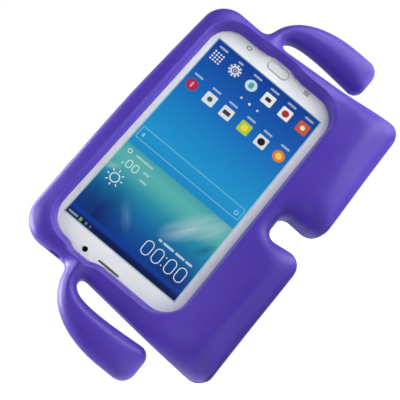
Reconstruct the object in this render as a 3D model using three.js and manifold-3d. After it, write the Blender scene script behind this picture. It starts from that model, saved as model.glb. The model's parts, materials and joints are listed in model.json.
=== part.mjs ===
// A child's foam case for a 7-inch tablet: a one-piece foam figure with two arms for handles and two
// feet to stand on, and the tablet that it grips, built from its own casings, boards, keys and screws.
// Millimetres, +Z up. The case stands on Z = 0 with its screen facing -Y, centred on the Z axis.

import * as THREE from 'three';
import { mergeVertices } from 'three/addons/utils/BufferGeometryUtils.js';
import Module from 'manifold-3d';

const wasm = await Module();
wasm.setup();

// ---------------------------------------------------------------- driving dimensions

const gap = 0.3;                      // clearance between neighbouring pieces

// Tablet, measured from the middle of its screen. Depth runs from the front glass towards the back.
const screenCentreZ = 89.5;
const tabletLength = 190;
const tabletHeight = 106;
const tabletDepth = 9.5;
const tabletCornerRadius = 12.5;

// Foam, with heights measured from the middle of the screen, as the tablet sets them.
const soleZ = -screenCentreZ;
const frameTopZ = 62.1;               // top rail at the middle
const frameShoulderZ = 60.3;          // top rail at its corners
const frameHalfWidth = 101;
const hipHalfWidth = 106.5;
const shoulderRadius = 18;
const footCornerRadius = 10;
const frameFrontY = -7.5;             // relative to the glass
const frameBackY = 19.5;
const frameBottomZ = -60;
const waistZ = 8;
const footFrontY = -25.5;
const footBackY = 15.5;
const footTopZ = -30;
const frameEdgeRounding = 5;
const footEdgeRounding = 7.5;
const notchHalfWidth = 10;
const notchTopZ = -61.5;
const armReach = 134.6;               // outer edge of each arm
const armWidth = 23.4;
const armTopZ = 19.6;
const armUnderZ = 9.6;                // underside of the arm where it leaves the side
const armRootX = 90;                  // where its inner end is hidden inside the frame
const armEndZ = -52.5;
const armFrontY = -8;
const armBackY = 16;
const armEdgeRounding = 4.8;

// Window in the front, with a thin lip on the glass and a curved wall up to the rim.
const windowHalfLength = 89;
const windowHalfHeight = 49;
const windowCornerRadius = 16;
const windowWallFlare = 4;
const lipThickness = 1.3;

// Keys and their travel.
const homeButtonX = 86.3;
const homeButtonLength = 16;
const homeButtonWidth = 6.5;
const powerKeyX = -40;
const powerKeyLength = 12;
const volumeRockerX = -12;
const volumeRockerLength = 24;
const keyDepth = { front: 2.2, back: 4.6 };
const keyTop = tabletHeight / 2 + 0.9;
const keyFlange = { low: 50.05, high: 50.65, overhang: 1.5 };

// Ports and cameras.
const rearCamera = { x: -80, z: 0 };
const frontCamera = { x: -87.3, z: 18.5 };
const earpieceX = -87.3;
const earpieceLength = 15;
const screwPlaces = [[-60, 47.6], [10, 42], [-20, -43], [40, -47.6], [72, 46.5], [72, -47]];
const audioJackZ = 30;
const audioBoreRadius = 2.3;
const usbOpening = { x: [91, 97], depth: [4.5, 7.7], z: [-4.3, 4.3] };
const cameraHoleRadius = 4.2;

// How far each outline of the casing lies inside the tablet's outer edge, and its corner radius.
const glassOutline = { inset: 1.8, radius: 10.2 };
const glassSeat = { inset: 1.5, radius: 10.5 };
const displaySeat = { inset: 4.5, radius: 8 };
const frameInside = { inset: 3.5, radius: 8.5 };
const coverInsideOutline = { inset: 2.5, radius: 9.5 };

// Large pieces inside the tablet: size along the screen's length and across it.
const displayPanelSize = [161, 93];
const batterySize = [96, 72];
const batteryX = 18;
const mainBoardX = [-73, -34];
const shieldX = [-70, -40];
const shieldWall = 0.4;
const speakerX = [75, 90.6];

// Layers of the tablet, as depths from the face of the glass.
const glassBack = 0.9;
const innerFront = 1.2;               // first depth behind the glass
const plateFront = 3.6;               // the frame's middle plate
const plateBack = 4.4;
const frameBack = 5.9;
const coverFront = 6.2;
const coverInside = 8.3;
const boardFront = plateBack + 0.4;
const boardBack = boardFront + 0.8;

// ---------------------------------------------------------------- shapes

function roundedRectangle(length, height, radius, centreX = 0, centreZ = 0) {
  const x = length / 2 - radius;
  const z = height / 2 - radius;
  const shape = new THREE.Shape();
  shape.absarc(centreX + x, centreZ + z, radius, 0, Math.PI / 2);
  shape.absarc(centreX - x, centreZ + z, radius, Math.PI / 2, Math.PI);
  shape.absarc(centreX - x, centreZ - z, radius, Math.PI, 1.5 * Math.PI);
  shape.absarc(centreX + x, centreZ - z, radius, 1.5 * Math.PI, 2 * Math.PI);
  shape.closePath();
  return shape;
}

// The tablet's outline, moved in by an inset.
function insideTablet({ inset, radius }) {
  return roundedRectangle(tabletLength - 2 * inset, tabletHeight - 2 * inset, radius);
}

function disc(radius, centreX = 0, centreZ = 0) {
  const shape = new THREE.Shape();
  shape.absarc(centreX, centreZ, radius, 0, 2 * Math.PI);
  return shape;
}

// ---------------------------------------------------------------- solids

function toSolid(geometry) {
  geometry.deleteAttribute('normal');
  geometry.deleteAttribute('uv');
  const merged = mergeVertices(geometry, 1e-4);
  return new wasm.Manifold(new wasm.Mesh({
    numProp: 3,
    vertProperties: new Float32Array(merged.attributes.position.array),
    triVerts: new Uint32Array(merged.index.array),
  }));
}

function toGeometry(solid) {
  const mesh = solid.getMesh();
  const geometry = new THREE.BufferGeometry();
  geometry.setAttribute('position', new THREE.BufferAttribute(mesh.vertProperties, 3));
  geometry.setIndex(new THREE.BufferAttribute(mesh.triVerts, 1));
  geometry.computeVertexNormals();
  return geometry;
}

// An outline drawn in X and Z, run through the depth Y from front to back, with round edges.
function slabGeometry(shape, front, back, rounding = 0, curveSegments = 6, roundingSteps = 3) {
  const geometry = new THREE.ExtrudeGeometry(shape, {
    depth: back - front - 2 * rounding,
    curveSegments,
    bevelEnabled: rounding > 0,
    bevelThickness: rounding,
    bevelSize: rounding,
    bevelOffset: -rounding,
    bevelSegments: roundingSteps,
  });
  geometry.rotateX(Math.PI / 2);
  geometry.translate(0, back - rounding, 0);
  return geometry;
}

function slab(...options) {
  return toSolid(slabGeometry(...options));
}

function block(x, depth, z) {
  const geometry = new THREE.BoxGeometry(x[1] - x[0], depth[1] - depth[0], z[1] - z[0]);
  geometry.translate((x[0] + x[1]) / 2, (depth[0] + depth[1]) / 2, (z[0] + z[1]) / 2);
  return toSolid(geometry);
}

function around(centre, size) {
  return [centre - size / 2, centre + size / 2];
}

function union(solids) {
  return solids.reduce((whole, part) => whole.add(part));
}

function cut(solid, cutters) {
  return cutters.reduce((rest, cutter) => rest.subtract(cutter), solid);
}

// ---------------------------------------------------------------- foam case

// Head, shoulders, sides and hips, with the lower edge hidden inside the feet.
function frameOutline() {
  const side = frameHalfWidth;
  const hip = hipHalfWidth - 1.6;
  const shape = new THREE.Shape();
  shape.moveTo(-hip, frameBottomZ);
  shape.lineTo(hip, frameBottomZ);
  shape.bezierCurveTo(hip - 1, -40, side + 0.4, -15, side, waistZ);
  shape.absarc(side - shoulderRadius, frameShoulderZ - shoulderRadius, shoulderRadius, 0, Math.PI / 2);
  shape.quadraticCurveTo(0, 2 * frameTopZ - frameShoulderZ, shoulderRadius - side, frameShoulderZ);
  shape.absarc(shoulderRadius - side, frameShoulderZ - shoulderRadius, shoulderRadius,
    Math.PI / 2, Math.PI);
  shape.lineTo(-side, waistZ);
  shape.bezierCurveTo(-side - 0.4, -15, 1 - hip, -40, -hip, frameBottomZ);
  return shape;
}

// Both feet, joined above the notch, with the upper edge hidden inside the frame.
function footOutline() {
  const corner = footCornerRadius;
  const flare = 10;
  const crown = 7;
  const hip = hipHalfWidth;
  const shape = new THREE.Shape();
  shape.moveTo(notchHalfWidth + flare, soleZ);
  shape.absarc(hip - corner, soleZ + corner, corner, -Math.PI / 2, 0);
  shape.bezierCurveTo(hip - 0.4, -60, hip - 2.5, -42, hip - 5, footTopZ);
  shape.lineTo(5 - hip, footTopZ);
  shape.bezierCurveTo(2.5 - hip, -42, 0.4 - hip, -60, -hip, soleZ + corner);
  shape.absarc(corner - hip, soleZ + corner, corner, Math.PI, 1.5 * Math.PI);
  shape.absarc(-notchHalfWidth - flare, soleZ + flare, flare, -Math.PI / 2, 0);
  shape.absarc(crown - notchHalfWidth, notchTopZ - crown, crown, Math.PI, Math.PI / 2, true);
  shape.absarc(notchHalfWidth - crown, notchTopZ - crown, crown, Math.PI / 2, 0, true);
  shape.absarc(notchHalfWidth + flare, soleZ + flare, flare, Math.PI, 1.5 * Math.PI);
  return shape;
}

// The right arm: it leaves the side level, turns down and ends free beside the hip.
function armOutline() {
  const inner = armReach - armWidth;
  const tip = 9;
  const shape = new THREE.Shape();
  shape.moveTo(armRootX, armTopZ);
  shape.lineTo(frameHalfWidth, armTopZ);
  shape.bezierCurveTo(119, armTopZ, armReach, 2, armReach, -28);
  shape.absarc(armReach - tip, armEndZ + tip, tip, 0, -Math.PI / 2, true);
  shape.absarc(inner - 2 + tip, armEndZ + tip, tip, -Math.PI / 2, -Math.PI, true);
  shape.bezierCurveTo(inner - 1, -35, inner + 0.5, -22, inner + 0.5, -14);
  shape.bezierCurveTo(inner + 0.5, 4, 109, armUnderZ, 98, armUnderZ);
  shape.lineTo(armRootX, armUnderZ);
  shape.closePath();
  return shape;
}

// Opening of the front window on the glass, with a bay for the home button and one for the camera.
function windowOutline() {
  const side = windowHalfLength;
  const radius = windowCornerRadius;
  const z = windowHalfHeight - radius;
  const shape = new THREE.Shape();
  shape.absarc(side - radius, -z, radius, 1.5 * Math.PI, 2 * Math.PI);
  shape.lineTo(side, -14);
  shape.bezierCurveTo(side, -9, side + 2.4, -9, side + 2.4, -4);
  shape.lineTo(side + 2.4, 4);
  shape.bezierCurveTo(side + 2.4, 9, side, 9, side, 14);
  shape.absarc(side - radius, z, radius, 0, Math.PI / 2);
  shape.absarc(radius - side, z, radius, Math.PI / 2, Math.PI);
  shape.lineTo(-side, 30);
  shape.bezierCurveTo(-side, 26, -side - 2.8, 26, -side - 2.8, 22);
  shape.lineTo(-side - 2.8, 13);
  shape.bezierCurveTo(-side - 2.8, 9, -side, 9, -side, 5);
  shape.absarc(radius - side, -z, radius, Math.PI, 1.5 * Math.PI);
  shape.closePath();
  return shape;
}

// Leans the front and back faces of a slab, so that it has the depths given at a low and a high Z.
function leanFaces(geometry, low, high) {
  geometry.computeBoundingBox();
  const { min, max } = geometry.boundingBox;
  const position = geometry.attributes.position;
  for (let i = 0; i < position.count; i += 1) {
    const rise = (position.getZ(i) - low.z) / (high.z - low.z);
    const front = low.front + (high.front - low.front) * rise;
    const back = low.back + (high.back - low.back) * rise;
    const share = (position.getY(i) - min.y) / (max.y - min.y);
    position.setY(i, front + (back - front) * share);
  }
  return geometry;
}

function foamBlank() {
  const frame = leanFaces(
    slabGeometry(frameOutline(), frameFrontY, frameBackY, frameEdgeRounding),
    { z: frameBottomZ, front: frameFrontY, back: footBackY - 0.6 },
    { z: frameTopZ, front: frameFrontY, back: frameBackY },
  );
  const feet = leanFaces(
    slabGeometry(footOutline(), footFrontY, footBackY, footEdgeRounding),
    { z: soleZ, front: footFrontY, back: footBackY },
    { z: footTopZ, front: frameFrontY + 6, back: footBackY },
  );
  const arm = slabGeometry(armOutline(), armFrontY, armBackY, armEdgeRounding, 8);
  const leftArm = toSolid(arm.clone().rotateZ(Math.PI).translate(0, armFrontY + armBackY, 0));
  return union([toSolid(frame), toSolid(feet), toSolid(arm), leftArm]);
}

function windowCutter() {
  const rim = new THREE.ExtrudeGeometry(windowOutline(), {
    depth: 40,
    curveSegments: 6,
    bevelEnabled: true,
    bevelThickness: -frameFrontY - lipThickness,
    bevelSize: windowWallFlare,
    bevelSegments: 3,
  });
  rim.rotateX(Math.PI / 2);
  rim.translate(0, frameFrontY, 0);
  const lip = slab(windowOutline(), -5, 2);
  return toSolid(rim).add(lip);
}

function foamCase() {
  const pocket = slab(
    roundedRectangle(tabletLength + 2 * gap, tabletHeight + 2 * gap, tabletCornerRadius + gap),
    -gap, tabletDepth + gap,
  );
  const keySlot = block([-50, 4], [1, 6], [tabletHeight / 2 - 1, frameTopZ + 3]);
  const plugOpening = block([tabletLength / 2 - 1, frameHalfWidth + 2], [2, 10], [-7.5, 7.5]);
  const jackOpening = block([-frameHalfWidth - 2, 1 - tabletLength / 2], [1, 9.2],
    around(audioJackZ, 9));
  const cameraOpening = slab(roundedRectangle(20, 24, 8, rearCamera.x, rearCamera.z), 5, 30);
  return cut(foamBlank(), [windowCutter(), pocket, keySlot, plugOpening, jackOpening, cameraOpening]);
}

// ---------------------------------------------------------------- tablet casing

function frontGlass() {
  const plate = slab(insideTablet(glassOutline), 0, glassBack, 0.25, 6, 1);
  return cut(plate, [
    slab(roundedRectangle(homeButtonWidth + 0.7, homeButtonLength + 0.7, 3.55, homeButtonX, 0), -1, 2),
    slab(roundedRectangle(1.5, earpieceLength + 0.6, 0.7, earpieceX, 0), -1, 2),
    slab(disc(1.9, frontCamera.x, frontCamera.z), -1, 2),
  ]);
}

function middleFrame() {
  const ring = slab(roundedRectangle(tabletLength, tabletHeight, tabletCornerRadius), 0.1, frameBack,
    0.8, 8, 2);
  const topWall = tabletHeight / 2 - 2;
  const keyPocket = (centre, length) => union([
    block(around(centre, length + 2 * keyFlange.overhang + 2), [1.9, 4.9], [46.5, topWall]),
    block(around(centre, length + 2 * gap), [1.9, 4.9], [46.5, tabletHeight]),
  ]);
  return cut(ring, [
    slab(insideTablet(glassSeat), -1, innerFront),
    slab(insideTablet(displaySeat), 0, plateFront),
    slab(insideTablet(frameInside), plateBack, tabletDepth),
    keyPocket(powerKeyX, powerKeyLength),
    keyPocket(volumeRockerX, volumeRockerLength),
    block(usbOpening.x, usbOpening.depth, usbOpening.z),
    block([-92, -82.4], [2.3, 7], around(audioJackZ, 6.8)),
    audioBore(audioBoreRadius),
  ]);
}

function rearCover() {
  const shell = slab(roundedRectangle(tabletLength, tabletHeight, tabletCornerRadius),
    tabletDepth - 8, tabletDepth, 2.6, 8, 3);
  return cut(shell, [
    slab(roundedRectangle(tabletLength + 2, tabletHeight + 2, tabletCornerRadius), -5, coverFront),
    slab(insideTablet(coverInsideOutline), 0, coverInside),
    slab(disc(cameraHoleRadius, rearCamera.x, rearCamera.z), 5, 12),
    block(usbOpening.x, usbOpening.depth, usbOpening.z),
    audioBore(audioBoreRadius),
  ]);
}

// ---------------------------------------------------------------- tablet inside

function displayPanel() {
  const [length, height] = displayPanelSize;
  return block(around(0, length), [innerFront, 3.3], around(0, height));
}

function battery() {
  return slab(roundedRectangle(...batterySize, 3, batteryX, 0), boardFront, 8, 0.8, 4, 2);
}

function mainBoard() {
  return block(mainBoardX, [boardFront, boardBack], [-46, 46]);
}

// An open-backed metal lid over the chips on the main board.
function shieldCan(z) {
  const top = 7.4;
  const inner = ([low, high]) => [low + shieldWall, high - shieldWall];
  const lid = block(shieldX, [boardBack + gap, top], z);
  return lid.subtract(block(inner(shieldX), [boardBack, top - shieldWall], inner(z)));
}

function buttonBoard() {
  return block([81.2, 90.2], [2.9, plateFront - gap], [-40, 40]);
}

function boardFlex() {
  return block([-44, 72], [boardBack + gap, 6.2], [-45, -40.4]);
}

function speaker(z) {
  const body = block(speakerX, [boardFront, 7.9], z);
  const cone = block([77, 86], [7.5, 9], [z[0] + 3, z[1] - 3]);
  return body.subtract(cone);
}

function vibrationMotor() {
  return slab(disc(4.5, 60, 43), boardFront, 7.6, 0.4, 8, 1);
}

function rearCameraModule() {
  const base = block(around(rearCamera.x, 8.6), [boardFront, 7.4], around(rearCamera.z, 8.6));
  return base.add(slab(disc(2.5, rearCamera.x, rearCamera.z), 7, 8.7, 0, 6));
}

function rearCameraRing() {
  const ring = slab(disc(3.9, rearCamera.x, rearCamera.z), 8.7, 9.8, 0.3, 8, 1);
  return ring.subtract(slab(disc(3.1, rearCamera.x, rearCamera.z), 5, 12, 0, 8));
}

function rearCameraLens() {
  return slab(disc(2.8, rearCamera.x, rearCamera.z), 9, 9.6, 0.2, 8, 1);
}

function frontCameraModule() {
  return block(around(frontCamera.x, 5.4), [innerFront, 3.4], around(frontCamera.z, 5.4));
}

function frontCameraLens() {
  return slab(disc(1.6, frontCamera.x, frontCamera.z), 0.1, glassBack, 0.15, 6, 1);
}

function earpieceReceiver() {
  return block(around(earpieceX, 5.4), [innerFront, 3.3], around(0, earpieceLength));
}

function earpieceMesh() {
  return slab(roundedRectangle(0.9, earpieceLength, 0.44, earpieceX, 0), 0.25, 0.8);
}

// A metal shell, open at its mouth, with a tongue inside.
function usbConnector() {
  const shell = block([88.6, 94.5], [4.8, 7.4], around(0, 7.8)).subtract(
    block([89.4, 96], [5.15, 7.05], around(0, 7.1)),
  );
  return shell.add(block([89, 93.6], [5.8, 6.4], around(0, 5.4)));
}

function audioBore(radius) {
  const bore = new THREE.CylinderGeometry(radius, radius, 9, 24);
  bore.rotateZ(Math.PI / 2);
  bore.translate(-94, 5.1, audioJackZ);
  return toSolid(bore);
}

function audioJack() {
  const body = block([-91.6, -82.8], [2.6, 7.6], around(audioJackZ, 6.2));
  return body.subtract(audioBore(1.8));
}

// Head of one of the screws that hold the frame to the cover, with its slot.
function frameScrew([x, z]) {
  const head = slab(disc(1.5, x, z), plateBack + gap, 5.6, 0, 6);
  return head.subtract(block([x - 0.25, x + 0.25], [5.2, 6], [z - 1, z + 1]));
}

// ---------------------------------------------------------------- keys

function homeButton() {
  const face = roundedRectangle(homeButtonWidth, homeButtonLength, 3.2, homeButtonX, 0);
  const flange = roundedRectangle(7.8, 18.4, 3.8, homeButtonX, 0);
  return slab(face, -0.6, 1.6, 0.4, 6, 2).add(slab(flange, innerFront, 1.9));
}

function homeButtonSwitch() {
  return slab(disc(1.8, homeButtonX, 0), 2.35, 2.65, 0, 6);
}

function sideKey(centre, length) {
  const stem = roundedRectangle(length, keyTop - keyFlange.low, 0.6, centre,
    (keyTop + keyFlange.low) / 2);
  const flangeLength = length + 2 * keyFlange.overhang;
  const depth = [keyDepth.front, keyDepth.back];
  return slab(stem, ...depth, 0.3, 3, 1).add(
    block(around(centre, flangeLength), depth, [keyFlange.low, keyFlange.high]),
  );
}

function keySwitch(centre) {
  return block(around(centre, 3), [2.6, 4.2], [47.2, keyFlange.low - 0.45]);
}

// ---------------------------------------------------------------- assembly

function material(color, roughness, metalness = 0) {
  return new THREE.MeshStandardMaterial({ color, roughness, metalness });
}

const finishes = {
  foam: material('#523ca8', 0.62),
  whitePlastic: material('#e4e6e8', 0.3),
  glass: material('#dfe4e8', 0.08),
  blackPlastic: material('#1b1c1f', 0.45),
  lens: material('#0c0e14', 0.05),
  metal: material('#b9bcc0', 0.35, 0.9),
  board: material('#1f5138', 0.55),
  battery: material('#3a3c40', 0.6),
  flex: material('#a8682c', 0.5),
};

const pieces = [
  ['front_glass', finishes.glass, frontGlass()],
  ['mid_frame', finishes.whitePlastic, middleFrame()],
  ['rear_cover', finishes.whitePlastic, rearCover()],
  ['display_panel', finishes.blackPlastic, displayPanel()],
  ['battery', finishes.battery, battery()],
  ['main_board', finishes.board, mainBoard()],
  ['shield_can_upper', finishes.metal, shieldCan([6, 38])],
  ['shield_can_lower', finishes.metal, shieldCan([-38, -6])],
  ['button_board', finishes.board, buttonBoard()],
  ['board_flex', finishes.flex, boardFlex()],
  ['speaker_upper', finishes.blackPlastic, speaker([20, 42])],
  ['speaker_lower', finishes.blackPlastic, speaker([-42, -20])],
  ['vibration_motor', finishes.metal, vibrationMotor()],
  ['rear_camera_module', finishes.blackPlastic, rearCameraModule()],
  ['rear_camera_ring', finishes.metal, rearCameraRing()],
  ['rear_camera_lens', finishes.lens, rearCameraLens()],
  ['front_camera_module', finishes.blackPlastic, frontCameraModule()],
  ['front_camera_lens', finishes.lens, frontCameraLens()],
  ['earpiece_receiver', finishes.blackPlastic, earpieceReceiver()],
  ['earpiece_mesh', finishes.metal, earpieceMesh()],
  ['usb_connector', finishes.metal, usbConnector()],
  ['audio_jack', finishes.blackPlastic, audioJack()],
  ['home_button', finishes.whitePlastic, homeButton()],
  ['home_button_switch', finishes.metal, homeButtonSwitch()],
  ['power_key', finishes.whitePlastic, sideKey(powerKeyX, powerKeyLength)],
  ['power_key_switch', finishes.metal, keySwitch(powerKeyX)],
  ['volume_rocker', finishes.whitePlastic, sideKey(volumeRockerX, volumeRockerLength)],
  ['volume_up_switch', finishes.metal, keySwitch(volumeRockerX - 9)],
  ['volume_down_switch', finishes.metal, keySwitch(volumeRockerX + 9)],
  ...screwPlaces.map((place, i) => [`frame_screw_${i + 1}`, finishes.metal, frameScrew(place)]),
];

function named(name, finish, solid) {
  const mesh = new THREE.Mesh(toGeometry(solid), finish);
  mesh.name = name;
  return mesh;
}

const tablet = new THREE.Group();
tablet.add(...pieces.map(([name, finish, solid]) => named(name, finish, solid)));

const group = new THREE.Group();
group.add(named('foam_case', finishes.foam, foamCase()), tablet);

const depth = new THREE.Box3().setFromObject(group);
group.position.set(0, -(depth.min.y + depth.max.y) / 2, screenCentreZ);

export default group;
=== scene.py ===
"""A purple foam tablet case with a small tablet in it, standing on a white studio floor.

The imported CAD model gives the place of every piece. The foam moulding is made here as one smooth,
closed surface round its outlines, and every CAD piece that shows gets its finish.
"""
import json
import math

import bpy
import numpy as np
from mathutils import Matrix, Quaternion, Vector


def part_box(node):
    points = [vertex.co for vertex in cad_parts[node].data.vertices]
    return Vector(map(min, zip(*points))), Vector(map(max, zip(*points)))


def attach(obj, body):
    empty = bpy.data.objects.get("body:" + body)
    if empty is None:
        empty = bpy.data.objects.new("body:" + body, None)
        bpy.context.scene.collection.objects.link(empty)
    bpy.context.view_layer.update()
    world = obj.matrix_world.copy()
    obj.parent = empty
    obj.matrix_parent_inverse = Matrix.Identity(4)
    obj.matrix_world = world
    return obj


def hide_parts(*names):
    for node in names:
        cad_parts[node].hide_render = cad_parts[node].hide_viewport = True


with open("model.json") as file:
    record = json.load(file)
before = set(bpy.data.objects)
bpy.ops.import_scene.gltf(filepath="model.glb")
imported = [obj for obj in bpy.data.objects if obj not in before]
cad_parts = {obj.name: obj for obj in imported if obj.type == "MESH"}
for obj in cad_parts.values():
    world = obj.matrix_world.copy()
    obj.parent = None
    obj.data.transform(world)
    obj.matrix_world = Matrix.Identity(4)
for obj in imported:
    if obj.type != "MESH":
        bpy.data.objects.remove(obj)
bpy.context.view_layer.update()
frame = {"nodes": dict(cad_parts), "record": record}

MM = 0.001

# The screen's middle, on the face of the glass. Foam sizes are millimetres from this point:
# X to the right, Y away from the viewer, Z up.
glass_low, glass_high = (Vector(corner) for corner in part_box("front_glass"))
screen_middle = (glass_low + glass_high) / 2
screen_middle.y = glass_low.y

# ---------------------------------------------------------------- driving sizes, millimetres

SOLE = -screen_middle.z / MM
GRID_STEP = 1.0
EVENING_PASSES = 5
CHART_STEP = 0.5
CHART_EXACT = 2.0                      # inside an outline, distances deeper than this are softened
CHART_SOFT = 4.0

TABLET_LENGTH = 190.0
TABLET_HEIGHT = 106.0
TABLET_DEPTH = 9.5
TABLET_CORNER = 12.5
GAP = 0.3

TOP = 62.1
SHOULDER = 60.3
SHOULDER_RADIUS = 18.0
HALF_WIDTH = 101.0
WAIST = 100.6
HIP = 107.0
HIP_RADIUS = 10.0
NOTCH = 10.0
NOTCH_TOP = -61.5
NOTCH_CROWN = 6.5
NOTCH_FLARE = 10.0

FRAME_FRONT = -7.0
FRAME_BACK = 19.3
BACK_LEAN = 0.03                      # how much deeper the back is for each millimetre of height
EDGE_POWER = 2.4
FRAME_ROUNDING = 11.5
FOOT_ROUNDING = 13.5                  # added to the frame's at the outer side of the feet
NOTCH_ROUNDING = 8.0                  # added to the frame's beside the notch
BACK_ROUNDING = 10.0
NOTCH_BACK_ROUNDING = 5.0             # added to the back's beside the notch
FRONT_START = 2.0                     # the back's rounding gives way to the front's from this depth
FRONT_BLEND = 4.0
OUTER_START = 20.0                    # the notch's rounding gives way to the foot's from this width
OUTER_BLEND = 50.0
FOOT_REACH = 13.5                     # how far the feet stand in front of the frame
FOOT_SWEEP_TOP = -36.0
FOOT_SWEEP = 46.0
FOOT_BULGE = 5.0                      # how much further they stand out beside the notch

ARM_FRONT = -8.5
ARM_BACK = 15.5
ARM_OUTER = 134.6
ARM_INNER = 111.8
ARM_TOP = 19.6
ARM_END = -52.5
ARM_ROUNDING = 11.0
ARM_FILLET_LEAST = 0.05               # low down, where the arm only passes the side
ARM_FILLET = 7.0                      # added to it where the arm leaves the side
ARM_FILLET_LOW = -10.0                # height where that starts
ARM_FILLET_BLEND = 14.0

LIP_FRONT = -2.1
LIP_ROUNDING = 0.8
WALL_FLARE = 3.6                      # how far the window's wall slopes outwards, at the top and sides
WALL_FLARE_BELOW = 1.4                # and along its lower edge
RIM_ROUNDING = 1.3
BEAD_HEIGHT = 0.6
BEAD_WIDTH = 1.0
BEAD_END = -48.0                      # the bead fades out between these two heights
BEAD_FULL = -26.0
POCKET_ROUNDING = 0.35
OPENING_ROUNDING = 1.2


# ---------------------------------------------------------------- outlines in X and Z

def arc(x, z, radius, start, end, steps=10):
    angles = np.radians(np.linspace(start, end, steps + 1))
    return np.c_[x + radius * np.cos(angles), z + radius * np.sin(angles)]


def curve(a, b, c, d, steps=16):
    """A cubic Bezier curve from a to d."""
    a, b, c, d = (np.array(point) for point in (a, b, c, d))
    t = np.linspace(0, 1, steps + 1)[:, None]
    s = 1 - t
    return s ** 3 * a + 3 * s * s * t * b + 3 * s * t * t * c + t ** 3 * d


def body_outline():
    """Right half of the body and some of the left, from the notch round the foot, hip and shoulder."""
    return np.vstack([
        (-25.0, NOTCH_TOP),
        arc(NOTCH - NOTCH_CROWN, NOTCH_TOP - NOTCH_CROWN, NOTCH_CROWN, 90, 0),
        arc(NOTCH - 0.8 + NOTCH_FLARE, SOLE + NOTCH_FLARE, NOTCH_FLARE, 180, 270),
        arc(HIP - HIP_RADIUS, SOLE + HIP_RADIUS, HIP_RADIUS, -90, 0),
        curve((HIP, SOLE + HIP_RADIUS), (HIP - 0.6, -60), (HIP - 3.4, -28), (HALF_WIDTH, 5)),
        curve((HALF_WIDTH, 5), (WAIST, 18), (WAIST, 30), (HALF_WIDTH, SHOULDER - SHOULDER_RADIUS)),
        arc(HALF_WIDTH - SHOULDER_RADIUS, SHOULDER - SHOULDER_RADIUS, SHOULDER_RADIUS, 0, 90),
        curve((HALF_WIDTH - SHOULDER_RADIUS, SHOULDER), (50, SHOULDER + 1), (20, TOP), (0, TOP)),
        (-25.0, TOP),
    ])


def arm_outline():
    """Right arm: level out of the side, then down to a free end beside the hip."""
    tip, inner_tip, under = 9.0, 7.0, 10.0
    return np.vstack([
        (80.0, ARM_TOP),
        curve((HALF_WIDTH, ARM_TOP), (119, ARM_TOP), (ARM_OUTER, 2), (ARM_OUTER + 0.3, -30)),
        arc(ARM_OUTER - tip, ARM_END + tip, tip, 0, -90),
        arc(ARM_INNER - 1.8 + inner_tip, ARM_END + inner_tip, inner_tip, -90, -180),
        curve((ARM_INNER - 1.8, ARM_END + inner_tip), (ARM_INNER - 1, -36), (ARM_INNER + 0.4, -24),
              (ARM_INNER + 0.4, -13)),
        curve((ARM_INNER + 0.4, -13), (ARM_INNER + 0.4, 5), (109.5, under), (98, under)),
        (80.0, under),
    ])


def window_outline():
    """Edge of the lip on the glass, with a bay round the home button and one round the camera."""
    side, top, bottom, radius = 89.0, 47.3, -48.9, 16.0
    return np.vstack([
        arc(side - radius, bottom + radius, radius, -90, 0),
        curve((side, -17), (side + 0.2, -9), (side + 2.6, -9), (side + 2.6, -3)),
        curve((side + 2.6, 3), (side + 2.6, 9), (side + 0.2, 9), (side, 17)),
        arc(side - radius, top - radius, radius, 0, 90),
        arc(radius - side, top - radius, radius, 90, 180),
        curve((-side, 31), (-side - 0.2, 26), (-side - 2.8, 26), (-side - 2.8, 21)),
        curve((-side - 2.8, 14), (-side - 2.8, 9), (-side - 0.2, 9), (-side, 2)),
        arc(radius - side, bottom + radius, radius, 180, 270),
    ])


def ease(t):
    t = np.clip(t, 0, 1)
    return t * t * (3 - 2 * t)


def softened(values):
    """Values averaged over squares three times over, which turns creases into smooth bends."""
    reach = round(CHART_SOFT / CHART_STEP)
    for axis in (0, 1, 0, 1, 0, 1):
        padding = [(0, 0), (0, 0)]
        padding[axis] = (reach + 1, reach)
        total = np.cumsum(np.pad(values, padding, mode="edge"), axis=axis)
        ahead = np.split(total, [2 * reach + 1], axis=axis)[1]
        behind = np.take(total, np.arange(ahead.shape[axis]), axis=axis)
        values = (ahead - behind) / (2 * reach + 1)
    return values


class Chart:
    """Distance to a closed outline over X and Z, negative inside, read between its grid points."""

    def __init__(self, outline, low, high):
        self.low = low
        xs = np.arange(low[0], high[0] + CHART_STEP, CHART_STEP)
        zs = np.arange(low[1], high[1] + CHART_STEP, CHART_STEP)
        x, z = np.meshgrid(xs, zs, indexing="ij")
        nearest = np.full(x.shape, np.inf)
        inside = np.zeros(x.shape, bool)
        for (ax, az), (bx, bz) in zip(outline, np.roll(outline, -1, axis=0)):
            ux, uz = bx - ax, bz - az
            along = np.clip(((x - ax) * ux + (z - az) * uz) / max(ux * ux + uz * uz, 1e-9), 0, 1)
            nearest = np.minimum(nearest, (x - ax - along * ux) ** 2 + (z - az - along * uz) ** 2)
            if az != bz:
                inside ^= ((az > z) != (bz > z)) & (x < ux * (z - az) / uz + ax)
        exact = np.sqrt(nearest) * np.where(inside, -1, 1)
        depth = ease((-exact - CHART_EXACT) / (2 * CHART_SOFT))
        self.values = exact + (softened(exact) - exact) * depth

    def __call__(self, x, z):
        u = np.clip((x - self.low[0]) / CHART_STEP, 0, self.values.shape[0] - 1.001)
        v = np.clip((z - self.low[1]) / CHART_STEP, 0, self.values.shape[1] - 1.001)
        i, j = u.astype(int), v.astype(int)
        u, v = u - i, v - j
        near = self.values[i, j] * (1 - v) + self.values[i, j + 1] * v
        far = self.values[i + 1, j] * (1 - v) + self.values[i + 1, j + 1] * v
        return near * (1 - u) + far * u


# ---------------------------------------------------------------- distance to the foam's surface

def both(a, b, rounding, power=2.0):
    """Distance to what two shapes share, with a round edge; a power over two eases the edge in."""
    corner = (np.maximum(a + rounding, 0) ** power + np.maximum(b + rounding, 0) ** power) ** (1 / power)
    return np.minimum(np.maximum(a, b), -rounding) + corner


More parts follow.
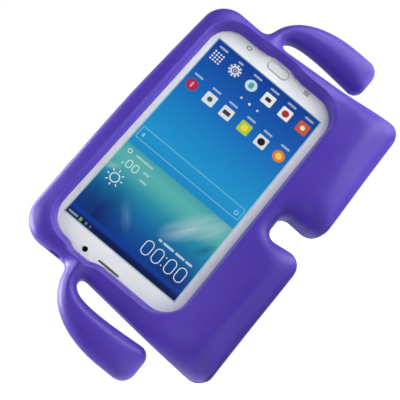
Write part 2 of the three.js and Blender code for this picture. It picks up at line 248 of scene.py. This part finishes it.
def joined(a, b, fillet):
    """Distance to two shapes joined, with a fillet between them."""
    share = np.clip(0.5 + 0.5 * (b - a) / fillet, 0, 1)
    return b + (a - b) * share - fillet * share * (1 - share)


def block(x, y, z, low, high, rounding):
    """Distance to a box with round edges."""
    middle = (np.array(low) + np.array(high)) / 2
    half = (np.array(high) - np.array(low)) / 2 - rounding
    out = [np.abs(value - m) - h for value, m, h in zip((x, y, z), middle, half)]
    inner = np.minimum(np.maximum(np.maximum(out[0], out[1]), out[2]), 0)
    outer = np.sqrt(sum(np.maximum(o, 0) ** 2 for o in out))
    return inner + outer - rounding


def openings():
    """Boxes cut through the foam for keys, plugs and the rear camera: low, high, corner radius."""
    edge = TABLET_LENGTH / 2 - 1
    return [
        ((-50, 1, 52), (4, 6, 80), 2.0),
        ((edge, 2, -7.5), (108, 10, 7.5), 3.0),
        ((-115, 1, 25.5), (-edge, 9.2, 34.5), 3.5),
        ((-90, 5, -12), (-70, 60, 12), 7.0),
    ]


body_chart = Chart(body_outline(), (0.0, SOLE - 8), (150.0, TOP + 8))
arm_chart = Chart(arm_outline(), (70.0, SOLE - 8), (150.0, TOP + 8))
window_chart = Chart(window_outline(), (-150.0, SOLE - 8), (150.0, TOP + 8))


def upper_share(z):
    """One along the window's top and sides, nothing along its lower edge."""
    return ease((z - BEAD_END) / (BEAD_FULL - BEAD_END))


def front_face(x, z, edge):
    """Depth of the body's front, which sweeps forward to the feet and has a bead round the window."""
    sweep = ease((FOOT_SWEEP_TOP - z) / FOOT_SWEEP)
    bulge = FOOT_BULGE * np.cos(np.minimum(np.abs(x) / HIP, 1) * math.pi / 2) * sweep
    bead_place = (edge - WALL_FLARE - BEAD_WIDTH) / BEAD_WIDTH
    bead = BEAD_HEIGHT * np.exp(-bead_place ** 2) * upper_share(z)
    return FRAME_FRONT - FOOT_REACH * sweep - bulge - bead


def outside_window(y, z, edge, front):
    """Distance to the foam's side of the window: a cove down to the lip, and the lip's round edge."""
    flare = WALL_FLARE_BELOW + (WALL_FLARE - WALL_FLARE_BELOW) * upper_share(z)
    across = np.maximum(edge, 0) / flare
    down = np.maximum(y - front, 0) / (LIP_FRONT - front)
    cove = (np.hypot(across, down) - 1) * flare
    hole = np.maximum(edge, y - TABLET_DEPTH)
    return both(-cove, -hole, LIP_ROUNDING)


def foam_distance(x, y, z):
    """Distance to the whole moulding: body and arms, less the window, the pocket and the openings."""
    side = np.abs(x)
    edge = window_chart(x, z)
    front = front_face(x, z, edge)
    sweep = ease((FOOT_SWEEP_TOP - z) / FOOT_SWEEP)
    back = FRAME_BACK + BACK_LEAN * (z - TOP)
    in_front = ease((FRONT_START - y) / FRONT_BLEND)
    outward = ease((side - OUTER_START) / OUTER_BLEND)
    in_front_rounding = FRAME_ROUNDING + sweep * (FOOT_ROUNDING * outward + NOTCH_ROUNDING * (1 - outward))
    behind_rounding = BACK_ROUNDING + sweep * NOTCH_BACK_ROUNDING * (1 - outward)
    rounding = in_front * in_front_rounding + (1 - in_front) * behind_rounding
    faces = np.maximum(front - y, y - back)
    body = both(body_chart(side, z), faces, rounding, EDGE_POWER)
    arm_faces = np.maximum(ARM_FRONT - y, y - ARM_BACK)
    arm = both(arm_chart(side, z), arm_faces, ARM_ROUNDING)
    fillet = ARM_FILLET_LEAST + ARM_FILLET * ease((z - ARM_FILLET_LOW) / ARM_FILLET_BLEND)
    foam = joined(body, arm, fillet)
    foam = both(foam, outside_window(y, z, edge, front), RIM_ROUNDING)
    pocket_low = (-TABLET_LENGTH / 2 - GAP, -GAP, -TABLET_HEIGHT / 2 - GAP)
    pocket_high = (TABLET_LENGTH / 2 + GAP, TABLET_DEPTH + GAP, TABLET_HEIGHT / 2 + GAP)
    foam = both(foam, -tablet_pocket(x, y, z, pocket_low, pocket_high), POCKET_ROUNDING)
    for low, high, corner_radius in openings():
        foam = both(foam, -block(x, y, z, low, high, corner_radius), OPENING_ROUNDING)
    return foam


def tablet_pocket(x, y, z, low, high):
    """Distance to the hollow that holds the tablet, with round corners in X and Z only."""
    radius = TABLET_CORNER + GAP
    across = np.abs(x) - (high[0] - radius)
    up = np.abs(z) - (high[2] - radius)
    plan = np.hypot(np.maximum(across, 0), np.maximum(up, 0)) - radius
    plan = plan + np.minimum(np.maximum(across, up), 0)
    return np.maximum(plan, np.maximum(low[1] - y, y - high[1]))


# ---------------------------------------------------------------- surface from the distance

def net_over(values):
    """One vertex in each grid cell that the surface crosses, and a quad over each crossed edge."""
    shape = np.array(values.shape)
    inside = values < 0
    sums = np.zeros((values.size, 3))
    counts = np.zeros(values.size)
    quads = []
    for axis in range(3):
        near = [slice(None)] * 3
        far = [slice(None)] * 3
        near[axis] = slice(0, -1)
        far[axis] = slice(1, None)
        crossed = inside[tuple(near)] != inside[tuple(far)]
        cell = np.argwhere(crossed)
        a = values[tuple(near)][crossed]
        b = values[tuple(far)][crossed]
        place = cell.astype(float)
        place[:, axis] += a / (a - b)
        corners = []
        for du, dv in ((0, 0), (-1, 0), (-1, -1), (0, -1)):
            beside = cell.copy()
            beside[:, (axis + 1) % 3] += du
            beside[:, (axis + 2) % 3] += dv
            number = np.ravel_multi_index(beside.T, shape)
            corners.append(number)
            counts += np.bincount(number, minlength=values.size)
            for k in range(3):
                sums[:, k] += np.bincount(number, place[:, k], minlength=values.size)
        quad = np.stack(corners, axis=1)
        quads.append(np.where((a < 0)[:, None], quad, quad[:, ::-1]))
    used = counts > 0
    new_number = np.cumsum(used) - 1
    return sums[used] / counts[used][:, None], new_number[np.vstack(quads)]


def even_out(points, quads):
    """Moves each vertex halfway to the middle of its neighbours."""
    a = np.concatenate([quads[:, k] for k in range(4)])
    b = np.concatenate([quads[:, (k + 1) % 4] for k in range(4)])
    count = np.bincount(a, minlength=len(points))[:, None]
    total = np.stack([np.bincount(a, points[b, k], minlength=len(points)) for k in range(3)], axis=1)
    return (points + total / count) / 2


def onto_surface(points, distance, reach):
    """Moves each vertex along the slope of the distance until it is on the surface."""
    step = 0.2
    value = distance(*points.T)
    slope = np.empty_like(points)
    for k in range(3):
        shift = np.zeros(3)
        shift[k] = step
        slope[:, k] = (distance(*(points + shift).T) - distance(*(points - shift).T)) / (2 * step)
    size = np.maximum((slope ** 2).sum(axis=1), 0.1)
    move = np.clip(value / size, -reach, reach)
    return points - slope * move[:, None]


def surface_of(distance, low, high, step):
    """Vertices and quads of the surface where the distance is zero."""
    axes = [np.arange(a, b + step, step) for a, b in zip(low, high)]
    x, y, z = np.meshgrid(*axes, indexing="ij", sparse=True)
    points, quads = net_over(distance(x, y, z))
    points = np.array(low) + points * step
    for _ in range(EVENING_PASSES):
        points = even_out(points, quads)
        points = onto_surface(points, distance, step / 2)
    return onto_surface(points, distance, step / 2), quads


def mesh_object(name, points, faces):
    """A smooth-shaded object from points in millimetres from the screen's middle."""
    mesh = bpy.data.meshes.new(name)
    mesh.from_pydata((np.array(screen_middle) + points * MM).tolist(), [], faces.tolist())
    mesh.shade_smooth()
    mesh.update()
    piece = bpy.data.objects.new(name, mesh)
    bpy.context.collection.objects.link(piece)
    return piece


def make_foam():
    margin = 3.37 * GRID_STEP          # an uneven share, so that no flat face lies on the grid
    low = (-ARM_OUTER - margin, FRAME_FRONT - FOOT_REACH - FOOT_BULGE - margin, SOLE - margin)
    high = (ARM_OUTER + margin, FRAME_BACK + margin, TOP + margin)
    points, quads = surface_of(foam_distance, low, high, GRID_STEP)
    return mesh_object("foam_moulding", points, quads)


# ---------------------------------------------------------------- material building

class Graph:
    """The nodes of one material, with short ways to add and link them."""

    def __init__(self, name):
        self.material = bpy.data.materials.new(name)
        self.material.use_nodes = True
        self.tree = self.material.node_tree
        self.shader = self.tree.nodes["Principled BSDF"]
        self.place = self.node("ShaderNodeTexCoord").outputs["Object"]

    def node(self, kind, inputs=None, **settings):
        made = self.tree.nodes.new(kind)
        for key, value in settings.items():
            setattr(made, key, value)
        for key, value in (inputs or {}).items():
            self.put(value, made.inputs[key])
        return made

    def put(self, value, socket):
        if isinstance(value, bpy.types.NodeSocket):
            self.tree.links.new(value, socket)
        else:
            socket.default_value = value

    def set(self, **values):
        for key, value in values.items():
            self.put(value, self.shader.inputs[key.replace("_", " ")])

    def math(self, operation, a, b=0.0, clamp=False):
        return self.node("ShaderNodeMath", {0: a, 1: b}, operation=operation, use_clamp=clamp).outputs[0]

    def vector(self, operation, a, b=(0, 0, 0)):
        return self.node("ShaderNodeVectorMath", {0: a, 1: b}, operation=operation)

    def noise(self, size, detail=2.0, roughness=0.5, place=None):
        """Noise whose features are about size metres across."""
        inputs = {"Vector": place or self.place, "Scale": 1 / size, "Detail": detail,
                  "Roughness": roughness}
        return self.node("ShaderNodeTexNoise", inputs).outputs["Fac"]

    def remap(self, value, low, high, to_low, to_high):
        inputs = {"Value": value, "From Min": low, "From Max": high, "To Min": to_low, "To Max": to_high}
        return self.node("ShaderNodeMapRange", inputs).outputs["Result"]

    def mix(self, share, a, b):
        made = self.node("ShaderNodeMix", {0: share, 6: a, 7: b}, data_type="RGBA")
        return made.outputs[2]

    def ramp(self, share, stops):
        made = self.node("ShaderNodeValToRGB", {"Fac": share})
        elements = made.color_ramp.elements
        while len(elements) < len(stops):
            elements.new(0.5)
        for element, (at, color) in zip(elements, stops):
            element.position = at
            element.color = color
        return made.outputs["Color"]

    def bumps(self, *layers):
        """Height layers from coarse to fine: (height, depth in metres)."""
        normal = None
        for height, depth in layers:
            inputs = {"Height": height, "Distance": depth, "Strength": 1.0}
            if normal:
                inputs["Normal"] = normal
            normal = self.node("ShaderNodeBump", inputs).outputs["Normal"]
        self.put(normal, self.shader.inputs["Normal"])


def rgb(red, green, blue):
    """A linear colour from 0 to 255 screen values."""
    values = [value / 255 for value in (red, green, blue)]
    linear = [v / 12.92 if v <= 0.04045 else ((v + 0.055) / 1.055) ** 2.4 for v in values]
    return (*linear, 1.0)


# ---------------------------------------------------------------- finishes

def foam_finish():
    """Satin closed-cell foam skin: fine cells, faint cloudiness and soft mould waves."""
    g = Graph("purple_foam_skin")
    cloud = g.noise(0.045, 3)
    cells = g.noise(0.0006, 3, 0.6)
    color = g.mix(g.remap(cloud, 0.35, 0.65, 0, 1), rgb(74, 48, 174), rgb(81, 54, 183))
    speck = g.remap(cells, 0.3, 0.7, 0, 1)
    color = g.mix(g.math("MULTIPLY", speck, 0.16), color, rgb(112, 88, 206))
    g.set(Base_Color=color, Roughness=g.remap(g.noise(0.02, 4), 0.3, 0.7, 0.38, 0.5),
          Sheen_Weight=0.08, Sheen_Roughness=0.5, Specular_IOR_Level=0.5)
    g.bumps((g.noise(0.03, 2), 0.0004), (g.noise(0.0035, 3), 0.00006), (cells, 0.00004))
    return g.material


def white_plastic_finish():
    g = Graph("white_gloss_shell")
    g.set(Base_Color=g.mix(g.noise(0.03), rgb(226, 229, 231), rgb(236, 238, 240)),
          Roughness=g.remap(g.noise(0.006, 4), 0.3, 0.7, 0.16, 0.26), Coat_Weight=0.3,
          Coat_Roughness=0.08)
    g.bumps((g.noise(0.01, 2), 0.00004))
    return g.material


def dark_plastic_finish(name, dark, light):
    g = Graph(name)
    g.set(Base_Color=g.mix(g.noise(0.004, 4), dark, light),
          Roughness=g.remap(g.noise(0.002, 3), 0.3, 0.7, 0.4, 0.6))
    g.bumps((g.noise(0.0005, 2), 0.00003))
    return g.material


def metal_finish(name, color, roughness):
    g = Graph(name)
    stretched = g.vector("MULTIPLY", g.place, (0.08, 1, 1)).outputs[0]
    grain = g.noise(0.0006, 3, 0.6, stretched)
    g.set(Base_Color=g.mix(g.remap(grain, 0.3, 0.7, 0, 0.35), color, (0.25, 0.25, 0.27, 1)),
          Metallic=1.0, Roughness=g.remap(grain, 0.3, 0.7, roughness - 0.07, roughness + 0.1))
    g.bumps((grain, 0.00001))
    return g.material


def lens_finish():
    g = Graph("camera_lens_glass")
    g.set(Base_Color=g.mix(g.noise(0.001), rgb(10, 12, 22), rgb(24, 22, 44)), Roughness=0.03,
          Coat_Weight=1.0, Coat_Roughness=0.02)
    return g.material


def board_finish():
    """Green board laminate with faint copper tracks."""
    g = Graph("board_green_laminate")
    tracks = g.node("ShaderNodeTexWave", {"Vector": g.place, "Scale": 260.0, "Distortion": 6.0},
                    wave_type="BANDS", bands_direction="Z").outputs["Fac"]
    lines = g.remap(tracks, 0.75, 0.85, 0, 1)
    g.set(Base_Color=g.mix(lines, rgb(24, 84, 52), rgb(60, 120, 70)), Roughness=0.45)
    g.bumps((lines, 0.00003))
    return g.material


# ---------------------------------------------------------------- picture on the screen

WHITE = rgb(240, 246, 250)
PALE_LINE = rgb(150, 214, 232)
DISPLAY = (155.0, 87.2)

# Wallpaper colours along the screen's length: share of the length, colour.
WALLPAPER = [
    (0.000, rgb(20, 26, 70)),
    (0.026, rgb(18, 30, 84)),
    (0.034, rgb(18, 58, 148)),
    (0.113, rgb(20, 84, 152)),
    (0.177, rgb(24, 114, 164)),
    (0.242, rgb(42, 144, 170)),
    (0.306, rgb(84, 178, 176)),
    (0.339, rgb(90, 182, 178)),
    (0.382, rgb(76, 166, 172)),
    (0.390, rgb(28, 142, 204)),
    (0.480, rgb(34, 152, 210)),
    (0.620, rgb(28, 134, 202)),
    (0.800, rgb(22, 96, 184)),
    (1.000, rgb(18, 62, 150)),
]

# App symbols: place along the length and across, colour of the tile, its corner radius, colour of the
# mark, the mark's length, width and corner radius.
TILES = [
    (39.5, 36.5, rgb(176, 48, 84), 4.0, rgb(236, 150, 176), 4.2, 1.4, 0.6),
    (39.5, 21.5, rgb(226, 232, 236), 0.9, rgb(60, 92, 110), 3.6, 3.6, 1.7),
    (39.5, 7.5, rgb(228, 232, 236), 0.9, rgb(60, 60, 72), 3.0, 5.4, 0.5),
    (39.5, -7.5, rgb(182, 206, 62), 0.9, rgb(242, 222, 70), 4.4, 4.4, 1.0),
    (39.5, -21.5, rgb(224, 226, 230), 0.9, rgb(28, 30, 40), 5.2, 5.2, 2.5),
    (39.5, -36.0, rgb(226, 130, 44), 4.2, rgb(246, 208, 96), 4.6, 4.6, 2.2),
    (65.5, 7.0, rgb(196, 230, 240), 4.3, rgb(84, 164, 176), 4.6, 3.4, 1.4),
    (65.5, -7.5, rgb(236, 240, 240), 0.9, rgb(44, 48, 58), 2.8, 4.2, 0.4),
    (65.5, -22.0, rgb(238, 238, 238), 0.9, rgb(172, 52, 48), 5.0, 5.0, 2.4),
    (65.5, -36.5, rgb(206, 92, 52), 0.9, rgb(246, 226, 208), 3.4, 3.4, 1.6),
]
TILE_SIZE = 8.4
CAPTION_DROP = 7.6                    # from the middle of a symbol to the bar under it

# Soft patches of the wallpaper: place along and across, half length, half width, tilt in degrees,
# colour, strength.
CLOUDS = [
    (-66, 30, 30, 26, 0, rgb(18, 40, 104), 1.0),
    (-68, -30, 15, 26, 0, rgb(18, 48, 108), 0.8),
    (-34, -23, 24, 9, 38, rgb(178, 210, 220), 0.8),
    (-25, -36, 18, 6, 30, rgb(170, 206, 208), 0.55),
    (-40, -38, 10, 3.5, 36, rgb(22, 84, 150), 0.8),
    (-55, 13, 12, 4.5, -38, rgb(110, 158, 200), 0.4),
    (-36, 40, 7, 3.2, 62, rgb(190, 216, 214), 0.5),
]


class Picture:
    """Layers of flat shapes in millimetres from the screen's middle, over one base colour."""

    def __init__(self, graph, base):
        self.g = graph
        self.color = base
        offset = graph.vector("SUBTRACT", graph.place, tuple(screen_middle)).outputs[0]
        self.place = graph.vector("MULTIPLY", offset, (1000, 0, 1000)).outputs[0]

    def spread(self, x, z, length, width, radius):
        """Distance from a rounded rectangle's core, which is its size less its corner radius."""
        g = self.g
        core = (length / 2 - radius, 0, width / 2 - radius)
        away = g.vector("ABSOLUTE", g.vector("SUBTRACT", self.place, (x, 0, z)).outputs[0]).outputs[0]
        past = g.vector("MAXIMUM", g.vector("SUBTRACT", away, core).outputs[0], (0, 0, 0)).outputs[0]
        return g.vector("LENGTH", past).outputs["Value"]

    def filled(self, x, z, length, width, radius, soft=0.16):
        far = self.spread(x, z, length, width, radius)
        return self.g.remap(far, radius + soft, radius - soft, 0, 1)

    def outlined(self, x, z, length, width, radius, stroke):
        far = self.g.math("SUBTRACT", self.spread(x, z, length, width, radius), radius - stroke / 2)
        return self.g.remap(self.g.math("ABSOLUTE", far), stroke / 2 + 0.1, stroke / 2 - 0.1, 0, 1)

    def cloud(self, x, z, length, width, tilt):
        """Fading ellipse with streaks along its length."""
        g = self.g
        turned = g.node("ShaderNodeMapping", {"Vector": self.place, "Location": (x, 0, z),
                                              "Rotation": (0, math.radians(tilt), 0),
                                              "Scale": (length, 1, width)}, vector_type="TEXTURE").outputs[0]
        fade = g.remap(g.vector("LENGTH", turned).outputs["Value"], 1.0, 0.1, 0, 1)
        streaks = g.noise(0.5, 3, 0.6, g.vector("MULTIPLY", turned, (0.35, 1, 1)).outputs[0])
        return g.math("MULTIPLY", fade, g.remap(streaks, 0.3, 0.62, 0.35, 1.0))

    def rays(self, x, z, inner, outer, count, stroke):
        """Short strokes around a middle: the sine is zero on every ray."""
        g = self.g
        arm = g.vector("SUBTRACT", self.place, (x, 0, z)).outputs[0]
        far = g.vector("LENGTH", arm).outputs["Value"]
        parts = g.node("ShaderNodeSeparateXYZ", {"Vector": arm}).outputs
        turn = g.math("MULTIPLY", g.math("ARCTAN2", parts["Z"], parts["X"]), count / 2)
        aside = g.math("MULTIPLY", g.math("ABSOLUTE", g.math("SINE", turn)), (inner + outer) / count)
        thin = g.remap(aside, stroke / 2 + 0.1, stroke / 2 - 0.1, 0, 1)
        middle = (inner + outer) / 2
        off = g.math("ABSOLUTE", g.math("SUBTRACT", far, middle))
        return g.math("MULTIPLY", thin, g.remap(off, outer - middle + 0.1, outer - middle - 0.1, 0, 1))

    def lay(self, mask, color, share=1.0):
        if share < 1:
            mask = self.g.math("MULTIPLY", mask, share)
        self.color = self.g.mix(mask, self.color, color)


def draw_wallpaper(picture):
    """Blue fade, with a dark corner and pale drifting cloud on the part below the search field."""
    g = picture.g
    along = g.node("ShaderNodeSeparateXYZ", {"Vector": picture.place}).outputs["X"]
    picture.color = g.ramp(g.remap(along, -DISPLAY[0] / 2, DISPLAY[0] / 2, 0, 1), WALLPAPER)
    cloudy = picture.filled(-43.8, 0, 51.4, 87.2, 0.4)
    for x, z, length, width, tilt, color, share in CLOUDS:
        cloud = g.math("MULTIPLY", picture.cloud(x, z, length, width, tilt), cloudy)
        picture.lay(cloud, color, share)


def draw_widgets(picture):
    # Status strip: battery, signal and clock marks.
    picture.lay(picture.filled(-75.0, 32.4, 2.4, 1.9, 0.3), rgb(110, 176, 96))
    picture.lay(picture.filled(-75.0, 38.2, 1.5, 7.0, 0.3), rgb(170, 182, 204), 0.6)
    picture.lay(picture.filled(-75.0, 28.2, 1.8, 1.5, 0.3), rgb(140, 150, 176), 0.6)
    picture.lay(picture.filled(-75.0, 25.0, 1.4, 1.2, 0.3), rgb(140, 150, 176), 0.5)
    # Sun with eight rays.
    picture.lay(picture.outlined(-41.2, 33.8, 6.6, 6.6, 3.3, 0.6), WHITE)
    picture.lay(picture.rays(-41.2, 33.8, 4.2, 5.9, 8, 0.55), WHITE)
    # Clock face of four plain loops and a colon, with a line of small print beside it.
    for z in (-35.8, -27.8, -17.8, -9.8):
        picture.lay(picture.outlined(-62.1, z, 10.2, 6.2, 3.1, 0.5), WHITE, 0.95)
    for x in (-65.2, -59.3):
        picture.lay(picture.filled(x, -22.8, 0.8, 0.8, 0.4), WHITE, 0.95)
    for z, width in ((-35.5, 5), (-28.5, 7), (-19.5, 8), (-13.0, 2.5)):
        picture.lay(picture.filled(-53.4, z, 1.5, width, 0.4), WHITE, 0.6)
    # Temperature of two plain loops and a ring, over faint small print.
    for z in (27.6, 32.6):
        picture.lay(picture.outlined(-28.6, z, 5.8, 3.9, 1.9, 0.5), WHITE, 0.9)
    picture.lay(picture.outlined(-30.6, 36.4, 1.3, 1.3, 0.65, 0.35), WHITE, 0.9)
    for x, z, width in ((-32.2, 18.6, 5.5), (-26.9, 20.2, 4.5), (-21.4, 26.0, 13.5)):
        picture.lay(picture.filled(x, z, 1.5, width, 0.5), WHITE, 0.35)
    picture.lay(picture.outlined(-21.5, 37.6, 3.2, 3.2, 1.6, 0.5), WHITE, 0.8)
    # Search field, with a lens at one end and a microphone at the other.
    picture.lay(picture.outlined(-7.5, 0, 9, 83.4, 0.9, 0.4), PALE_LINE, 0.8)
    picture.lay(picture.outlined(-8.2, -38, 3.2, 3.2, 1.6, 0.6), PALE_LINE, 0.9)
    picture.lay(picture.filled(-8, 38, 2.8, 1.4, 0.6), PALE_LINE, 0.9)


def draw_caption(picture, x, z, width=6.8):
    """Faint bar in place of a symbol's name."""
    picture.lay(picture.filled(x, z, 1.5, width, 0.5), WHITE, 0.42)


def draw_tiles(picture):
    for x, z, color, corner, mark, length, width, radius in TILES:
        picture.lay(picture.filled(x, z, TILE_SIZE, TILE_SIZE, corner), color)
        picture.lay(picture.filled(x, z, length, width, radius), mark)
        draw_caption(picture, x + CAPTION_DROP, z)
    # Grid of sixteen dots that opens the list of apps.
    for i in range(4):
        for k in range(4):
            picture.lay(picture.filled(62.3 + 2.15 * i, 32.8 + 2.15 * k, 1.2, 1.2, 0.5), WHITE)
    draw_caption(picture, 73.1, 36)
    # Gear: a toothed ring round a hub.
    steel = rgb(214, 220, 228)
    picture.lay(picture.outlined(66.4, 21.5, 6.4, 6.4, 3.2, 1.2), steel)
    picture.lay(picture.rays(66.4, 21.5, 3.2, 4.6, 10, 1.2), steel)
    picture.lay(picture.outlined(66.4, 21.5, 2.6, 2.6, 1.3, 0.6), steel, 0.8)
    draw_caption(picture, 73.1, 21.5, 4.0)
    # Page dots.
    for z, share in ((6.7, 0.6), (0, 1.0), (-6.7, 0.6)):
        picture.lay(picture.filled(54.5, z, 1.7, 1.7, 0.8), WHITE, share)


def draw_key_marks(picture):
    """Grey marks of the two touch keys, and the shadow line round the home button between them."""
    grey = rgb(96, 100, 108)
    picture.lay(picture.outlined(85.4, 24, 2.6, 3.6, 1.0, 0.55), grey)
    for i in range(3):
        for k in range(3):
            picture.lay(picture.filled(85.4 + 1.2 * i, -25.4 + 1.4 * k, 0.8, 1.0, 0.2), grey)
    picture.lay(picture.outlined(86.3, 0, 7.4, 16.9, 3.6, 0.35), rgb(170, 174, 178), 0.9)


def glass_finish():
    """White printed glass with the lit display showing through it."""
    g = Graph("front_glass_and_display")
    bezel = Picture(g, rgb(250, 252, 253))
    draw_key_marks(bezel)
    picture = Picture(g, WHITE)
    draw_wallpaper(picture)
    draw_widgets(picture)
    draw_tiles(picture)
    picture.lay(picture.outlined(0, 0, *DISPLAY, 0.8, 0.55), rgb(176, 216, 228), 0.85)
    lit = picture.filled(0, 0, DISPLAY[0] + 0.3, DISPLAY[1] + 0.3, 0.5, 0.1)
    black = (0.0, 0.0, 0.0, 1.0)
    smears = g.remap(g.noise(0.012, 4), 0.3, 0.7, 0.04, 0.1)
    g.set(Base_Color=g.mix(lit, bezel.color, (0.004, 0.004, 0.006, 1)), Roughness=smears,
          Emission_Color=g.mix(lit, black, picture.color), Emission_Strength=0.9,
          Specular_IOR_Level=0.5)
    return g.material


# ---------------------------------------------------------------- object

def finish_nodes():
    """Gives every CAD piece its finish, by the material slot that the record names for it."""
    finishes = {
        "white_bezel_glass": glass_finish(),
        "white_gloss_plastic": white_plastic_finish(),
        "black_plastic": dark_plastic_finish("black_moulded_plastic", rgb(22, 22, 25), rgb(36, 36, 40)),
        "battery_wrap": dark_plastic_finish("battery_film", rgb(48, 49, 54), rgb(66, 67, 72)),
        "board_laminate": board_finish(),
        "flex_film": dark_plastic_finish("amber_flex_film", rgb(150, 88, 34), rgb(178, 110, 48)),
        "steel_sheet": metal_finish("pressed_steel", (0.55, 0.56, 0.58, 1), 0.34),
        "bright_trim": metal_finish("bright_camera_trim", (0.8, 0.8, 0.82, 1), 0.16),
        "lens_glass": lens_finish(),
    }
    slots = {part["node"]: part["material_slot"] for part in frame["record"]["subparts"]}
    for name, piece in frame["nodes"].items():
        if slots[name] in finishes:
            piece.data.materials.clear()
            piece.data.materials.append(finishes[slots[name]])


def place_foam():
    foam = make_foam()
    foam.data.materials.append(foam_finish())
    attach(foam, "case")
    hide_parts("foam_case")


# ---------------------------------------------------------------- studio

CAMERA_AZIMUTH = -17.64
CAMERA_ELEVATION = -0.89
CAMERA_ROLL = -50.19
CAMERA_DISTANCE = 0.5663
CAMERA_LENS = 81.58
AIM_OFFSET = Vector((-0.0171, 0.0, -0.0155))

FLOOR_REACH = 4.0
FLOOR_GLOW = 0.03
FLOOR_LOOK = 0.98
BACKDROP_GLOW = 0.3
BACKDROP_START = 0.3                  # how far behind a direction points, out of 1, before it glows
BACKDROP_FULL = 0.9

# Softboxes: name, place from the screen's middle in metres, side in metres, power in watts.
LIGHTS = [
    ("key_right", (0.36, -0.24, 0.02), 0.26, 0.75),
    ("key_top_left", (-0.20, -0.14, 0.38), 0.28, 1.45),
    ("under_right", (0.34, -0.10, -0.20), 0.28, 1.75),
    ("rear_left", (-0.30, 0.20, 0.35), 0.25, 2.3),
    ("rear_top", (0.0, 0.5, 0.7), 0.4, 2.2),
]


def place_camera():
    azimuth = math.radians(-CAMERA_AZIMUTH)
    elevation = math.radians(-CAMERA_ELEVATION)
    forward = Vector((math.sin(azimuth) * math.cos(elevation), math.cos(azimuth) * math.cos(elevation),
                      math.sin(elevation)))
    lens = bpy.data.cameras.new("camera")
    lens.lens = CAMERA_LENS
    lens.clip_start = 0.01
    camera = bpy.data.objects.new("camera", lens)
    camera.location = screen_middle + AIM_OFFSET - forward * CAMERA_DISTANCE
    camera.rotation_mode = "QUATERNION"
    roll = Quaternion((0, 0, 1), math.radians(CAMERA_ROLL))
    camera.rotation_quaternion = forward.to_track_quat("-Z", "Y") @ roll
    bpy.context.collection.objects.link(camera)
    bpy.context.scene.camera = camera


def place_floor():
    """A white light table: it looks as pale as the backdrop and lets the lamp beneath shine through."""
    mesh = bpy.data.meshes.new("floor")
    reach = FLOOR_REACH
    corners = [(-reach, -reach, 0), (reach, -reach, 0), (reach, reach, 0), (-reach, reach, 0)]
    mesh.from_pydata(corners, [], [(0, 1, 2, 3)])
    floor = bpy.data.objects.new("floor", mesh)
    bpy.context.collection.objects.link(floor)
    g = Graph("floor_paper")
    seen = g.node("ShaderNodeLightPath").outputs["Is Camera Ray"]
    g.set(Base_Color=(0.85, 0.85, 0.85, 1), Roughness=0.9, Emission_Color=(1, 1, 1, 1),
          Emission_Strength=g.remap(seen, 0, 1, FLOOR_GLOW, FLOOR_LOOK))
    mesh.materials.append(g.material)
    floor.visible_shadow = False


def place_backdrop():
    """A white world to look at; as a light it glows only behind the object, like a lit paper sweep."""
    world = bpy.data.worlds.new("studio")
    world.use_nodes = True
    nodes = world.node_tree.nodes
    link = world.node_tree.links.new
    behind = nodes.new("ShaderNodeMapRange")
    behind.inputs["From Min"].default_value = BACKDROP_START
    behind.inputs["From Max"].default_value = BACKDROP_FULL
    behind.inputs["To Max"].default_value = BACKDROP_GLOW
    direction = nodes.new("ShaderNodeSeparateXYZ")
    link(nodes.new("ShaderNodeTexCoord").outputs["Generated"], direction.inputs[0])
    link(direction.outputs["Y"], behind.inputs["Value"])
    seen = nodes.new("ShaderNodeMapRange")
    seen.inputs["To Max"].default_value = 1.0
    link(nodes.new("ShaderNodeLightPath").outputs["Is Camera Ray"], seen.inputs["Value"])
    link(behind.outputs["Result"], seen.inputs["To Min"])
    background = nodes["Background"]
    background.inputs["Color"].default_value = (1, 1, 1, 1)
    link(seen.outputs["Result"], background.inputs["Strength"])
    bpy.context.scene.world = world
    bpy.context.scene.view_settings.view_transform = "Standard"


def place_lights():
    """Square softboxes that look at the screen's middle and don't show in the picture."""
    for name, place, size, power in LIGHTS:
        lamp = bpy.data.lights.new(name, "AREA")
        lamp.shape = "SQUARE"
        lamp.size = size
        lamp.energy = power
        light = bpy.data.objects.new(name, lamp)
        light.location = screen_middle + Vector(place)
        light.rotation_mode = "QUATERNION"
        light.rotation_quaternion = (-Vector(place)).to_track_quat("-Z", "Y")
        light.visible_camera = False
        bpy.context.collection.objects.link(light)


place_foam()
finish_nodes()
place_camera()
place_floor()
place_backdrop()
place_lights()
